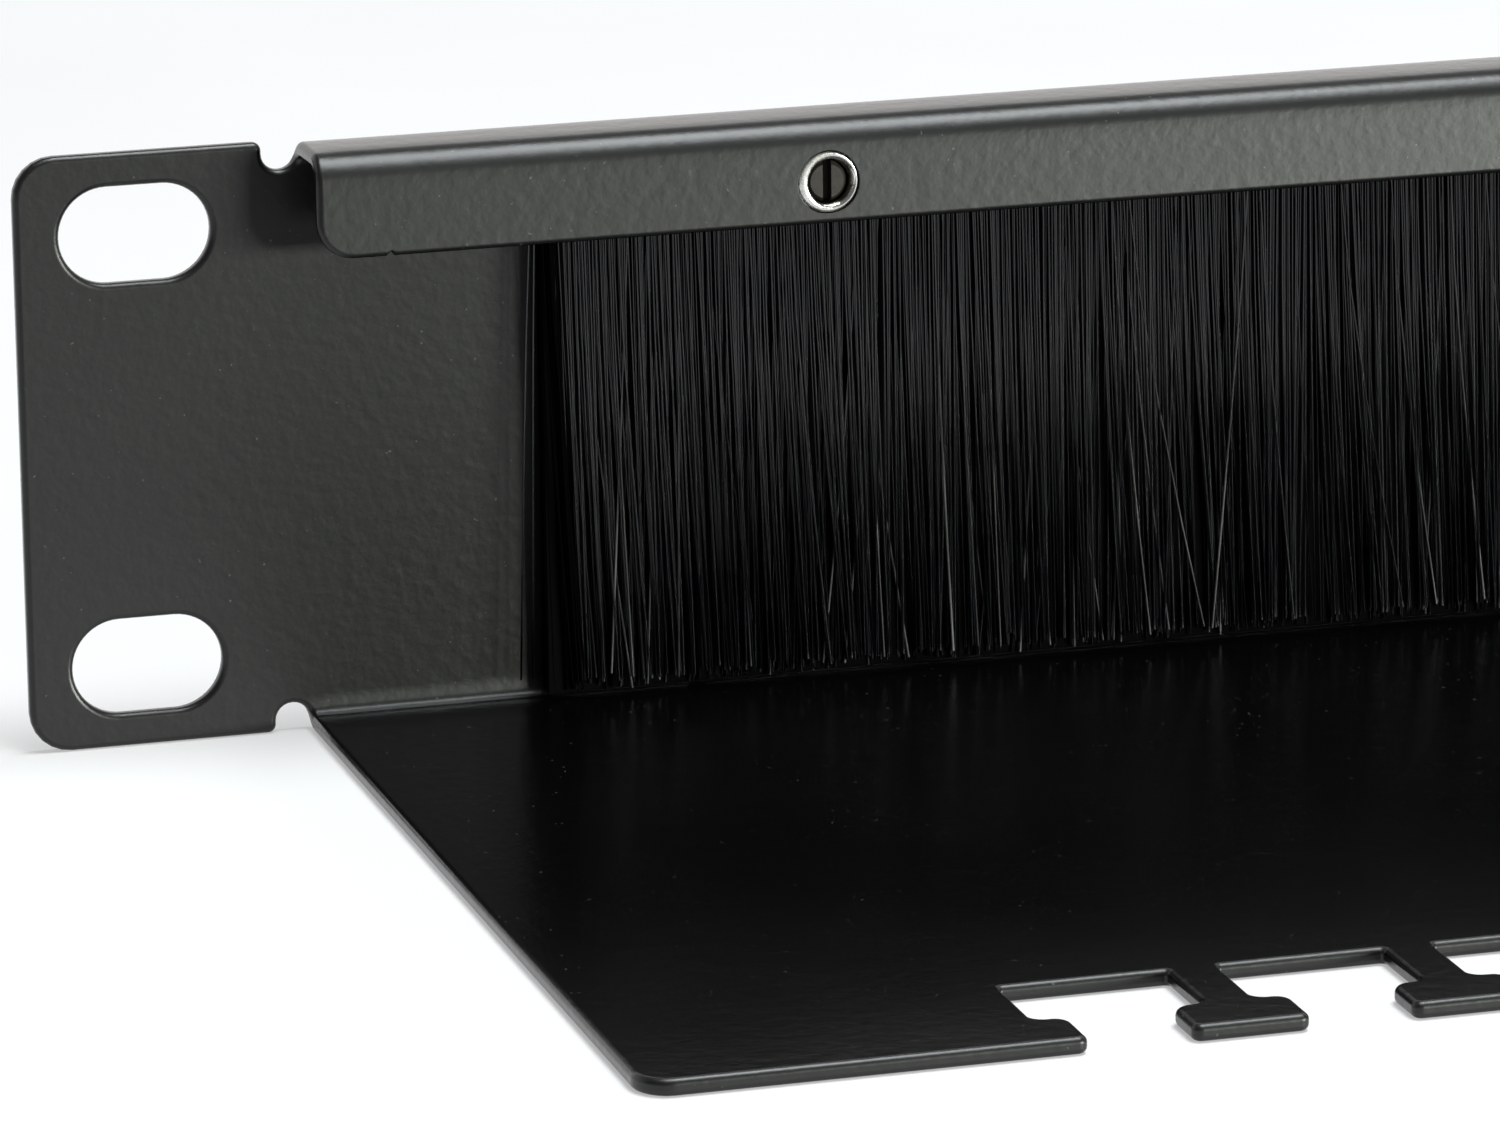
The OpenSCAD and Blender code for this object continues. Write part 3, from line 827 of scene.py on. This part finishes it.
# Painted shade: from about 0.1 mm deep inside the mouth the zinc turns dark brown, the shade in the bore.
shaded = bright.node("ShaderNodeAttribute", {"attribute_name": "depth"}, output="Fac").between(0.08, 0.20)
zinc = bright.blend(stain, (0.80, 0.80, 0.78, 1), (0.55, 0.52, 0.46, 1))
zinc_plate = bright.surface(
    Base_Color=bright.blend(painted, bright.blend(shaded, zinc, (0.10, 0.085, 0.07, 1)), grey(0.003)),
    Metallic=1 - painted,
    Roughness=0.20 + 0.16 * stain + 0.2 * painted,
    Normal=bright.node("ShaderNodeBump", sockets={"Strength": 0.6, "Distance": 0.012 * mm, "Height": turning}),
)
for nut, node in nuts:
    bm = bmesh.new()
    bm.from_mesh(nut.data)
    bmesh.ops.remove_doubles(bm, verts=bm.verts, dist=1e-7)
    bmesh.ops.recalc_face_normals(bm, faces=bm.faces)
    bm.to_mesh(nut.data)
    bm.free()
    finished(nut, zinc_plate, replaces=[node])

dark = Finish("black_oxide")
worn = dark.noise(0.5, detail=3.0)
black_oxide = dark.surface(
    Base_Color=dark.blend(worn, (0.016, 0.014, 0.013, 1), (0.050, 0.043, 0.038, 1)),
    Metallic=0.6,
    Roughness=0.42 + 0.15 * worn,
    Normal=dark.node("ShaderNodeBump", sockets={"Strength": 0.6, "Distance": 0.015 * mm, "Height": dark.noise(0.15, seed=2.0)}),
)
for node in screw_nodes:
    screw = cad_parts[node]
    screw.data.materials.clear()
    screw.data.materials.append(black_oxide)
print("zinc on nuts, black oxide on screws")

# %% Galvanised channel and wire
strip = Finish("channel_steel")
rolled = strip.noise(0.6, strip.place(0.05, 1.0, 1.0), detail=3.0)
channel_steel = strip.surface(
    Base_Color=strip.blend(strip.noise(5.0, seed=3.0), (0.50, 0.51, 0.52, 1), (0.62, 0.63, 0.64, 1)),
    Metallic=1.0,
    Roughness=0.35 + 0.15 * rolled,
    Normal=strip.node("ShaderNodeBump", sockets={"Strength": 0.5, "Distance": 0.01 * mm, "Height": rolled}),
)
wire = Finish("wire_steel")
drawn = wire.noise(0.2, wire.place(0.03, 1.0, 1.0), detail=2.0)
wire_steel = wire.surface(
    Base_Color=wire.blend(drawn, (0.52, 0.52, 0.53, 1), (0.66, 0.66, 0.67, 1)),
    Metallic=1.0,
    Roughness=0.30 + 0.1 * drawn,
)
for node, material in (("brush_channel", channel_steel), ("core_wire", wire_steel)):
    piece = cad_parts[node]
    piece.data.materials.clear()
    piece.data.materials.append(material)
print("channel and wire dressed")

# %% [markdown]
# ## Studio
# A pale table and three soft boxes. Black gloss shows hardly any colour of its own, so
# each face is drawn by what it mirrors: the box overhead lights the bends, the low one
# at the right lights the upright faces and throws the lip's soft shadow, and the dim
# one behind lights the top. The table reads white through a small glow that is there
# for camera, glossy and transmission rays only, so the shadow of the object stays on
# it. The glow grows away from the panel, where the boxes no longer reach. The
# surroundings do the same: white where the background is seen or mirrored, and dim as
# a light.

# %% Floor
floor_mesh = bpy.data.meshes.new("floor")
reach = 4.0
floor_z = (panel_low[2] - 0.02) * mm
table_edge = -0.17
floor_mesh.from_pydata([(-reach, table_edge, floor_z), (reach, table_edge, floor_z), (reach, reach, floor_z), (-reach, reach, floor_z)], [], [(0, 1, 2, 3)])
floor = bpy.data.objects.new("floor", floor_mesh)
bpy.context.scene.collection.objects.link(floor)
paper = Finish("floor_paper")
seen = sum(paper.node("ShaderNodeLightPath", output=kind) for kind in ("Is Camera Ray", "Is Glossy Ray", "Is Transmission Ray"))
diffuse = paper.node("ShaderNodeBsdfDiffuse", sockets={"Color": paper.blend(paper.noise(40.0), grey(0.44), grey(0.48))})
away = paper.node("ShaderNodeVectorMath", {"operation": "LENGTH"}, {0: paper.place()}, output="Value").between(0.40, 1.00)
glow = paper.node("ShaderNodeEmission", sockets={"Color": paper.blend(away, grey(0.40), grey(1.0)), "Strength": seen})
both = paper.node("ShaderNodeAddShader", sockets={0: diffuse, 1: glow})
paper.node("ShaderNodeOutputMaterial", sockets={"Surface": both})
floor_mesh.materials.append(paper.material)
print("floor at z =", round(floor_z / mm, 2), "mm")

# %% Lamps and surroundings


def softbox(name, place, target, width, depth, power, color):
    """A rectangular lamp at place that faces target."""
    lamp = bpy.data.lights.new(name, "AREA")
    lamp.shape, lamp.size, lamp.size_y, lamp.energy, lamp.color = "RECTANGLE", width, depth, power, color
    box = bpy.data.objects.new(name, lamp)
    direction = Vector(target) - Vector(place)
    box.matrix_world = Matrix.Translation(place) @ direction.to_track_quat("-Z", "Y").to_matrix().to_4x4()
    bpy.context.scene.collection.objects.link(box)
    return box


softbox("softbox_over", (0.04, -0.12, 1.05), (-0.10, -0.02, 0.0), 0.66, 0.50, 16.0, (0.94, 0.98, 1.0))
softbox("softbox_right", (0.60, -0.86, 0.08), (-0.14, 0.0, 0.0), 0.60, 0.14, 19.0, (0.95, 1.0, 0.92))
softbox("softbox_back", (0.10, 1.60, 0.50), (-0.10, 0.0, 0.0), 2.40, 0.80, 1.2, (1.0, 0.88, 0.80))

world = bpy.data.worlds.new("studio")
bpy.context.scene.world = world
world.use_nodes = True
room = Finish("studio", world.node_tree)
path = room.node("ShaderNodeLightPath", output="Is Camera Ray")
glossy = room.node("ShaderNodeLightPath", output="Is Glossy Ray")
through = room.node("ShaderNodeLightPath", output="Is Transmission Ray")
direction = room.node("ShaderNodeTexCoord", output="Generated")
split = {axis: room.node("ShaderNodeSeparateXYZ", sockets={"Vector": direction}, output=axis) for axis in "YZ"}
behind = split["Y"].between(-0.05, 0.25)
low = 1 - split["Z"].between(0.50, 0.90)
backdrop = behind * low
mirrored = glossy.math("MAXIMUM", glossy, through)
level = path + (1 - path) * (mirrored * (0.12 + 0.88 * backdrop) + (1 - mirrored) * 0.20)
sky = room.node("ShaderNodeBackground", sockets={"Color": grey(1.0), "Strength": level})
room.node("ShaderNodeOutputWorld", sockets={"Surface": sky})
bpy.context.scene.view_settings.view_transform = "Standard"
